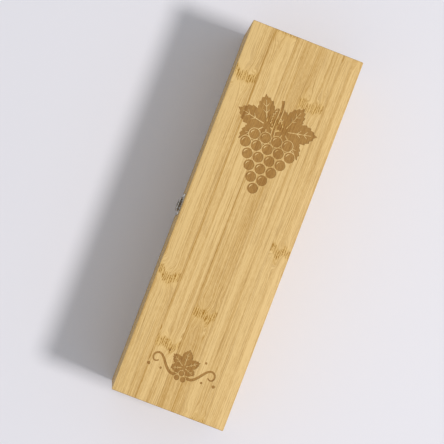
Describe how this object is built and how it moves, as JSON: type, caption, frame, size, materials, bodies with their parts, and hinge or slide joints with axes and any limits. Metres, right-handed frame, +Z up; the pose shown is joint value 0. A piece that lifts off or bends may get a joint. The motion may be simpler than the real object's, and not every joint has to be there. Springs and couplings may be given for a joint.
{
  "type": "wine box",
  "caption": "Oblong hinged bamboo box for a bottle of wine lying down, with rests for its neck and body, surface hinges and a toggle latch.",
  "frame": {"origin": "middle of the floor panel's underside, which the box rests on", "axes": "+X along the box, towards the end that holds the bottle's base; +Y from the latch side to the hinge side; +Z up"},
  "size_m": [0.356, 0.1145, 0.108],
  "materials": {
    "bamboo_panel": "pale satin bamboo, flat-pressed strips",
    "bamboo_wall": "pale satin bamboo, flat-pressed strips",
    "bamboo_rest": "pale sanded bamboo",
    "hinge_sheet": "nickel-plated pressed steel",
    "latch_sheet": "bright nickel-plated pressed steel",
    "bright_pin": "nickel-plated steel",
    "bright_wire": "bright nickel-plated steel wire",
    "screw_steel": "nickel-plated steel",
    "nail_steel": "bright nickel-plated steel"
  },
  "bodies": {
    "base": {"base_floor": "bamboo_panel", "base_front": "bamboo_wall", "base_back": "bamboo_wall", "base_left_end": "bamboo_wall", "base_right_end": "bamboo_wall", "neck_rest": "bamboo_rest", "body_rest": "bamboo_rest", "left_hinge_base_leaf": "hinge_sheet", "left_hinge_pin": "bright_pin", "right_hinge_base_leaf": "hinge_sheet", "right_hinge_pin": "bright_pin", "hinge_base_screws": "screw_steel", "latch_base_plate": "latch_sheet", "latch_base_nails": "nail_steel", "latch_lever_pin": "bright_pin"},
    "lid": {"lid_top": "bamboo_panel", "lid_front": "bamboo_wall", "lid_back": "bamboo_wall", "lid_left_end": "bamboo_wall", "lid_right_end": "bamboo_wall", "left_hinge_lid_leaf": "hinge_sheet", "right_hinge_lid_leaf": "hinge_sheet", "hinge_lid_screws": "screw_steel", "latch_catch_plate": "latch_sheet", "latch_catch_nails": "nail_steel"},
    "lever": {"latch_lever": "latch_sheet"},
    "bail_pin": {"latch_bail_pin": "bright_pin"},
    "bail": {"latch_bail": "bright_wire"}
  },
  "joints": [
    {"name": "lid_hinge", "type": "hinge", "parent": "base", "child": "lid", "pos_m": [0, 0.05525, 0.074], "axis": [-1, 0, 0], "range_deg": [0, 180]},
    {"name": "latch_lever_turn", "type": "hinge", "parent": "base", "child": "lever", "pos_m": [0, -0.0555, 0.062], "axis": [-1, 0, 0], "range_deg": [0, 90]},
    {"name": "bail_pin_turn", "type": "hinge", "parent": "lever", "child": "bail_pin", "pos_m": [0, -0.05512, 0.05842], "axis": [-1, 0, 0], "range_deg": [-76.5, 0]},
    {"name": "latch_bail_swing", "type": "hinge", "parent": "bail_pin", "child": "bail", "pos_m": [0, -0.05512, 0.05842], "axis": [1, 0, 0], "range_deg": [0, 65]}
  ],
  "couplings": [
    {"joint": "bail_pin_turn", "follows": "latch_lever_turn", "ratio": -0.85}
  ]
}
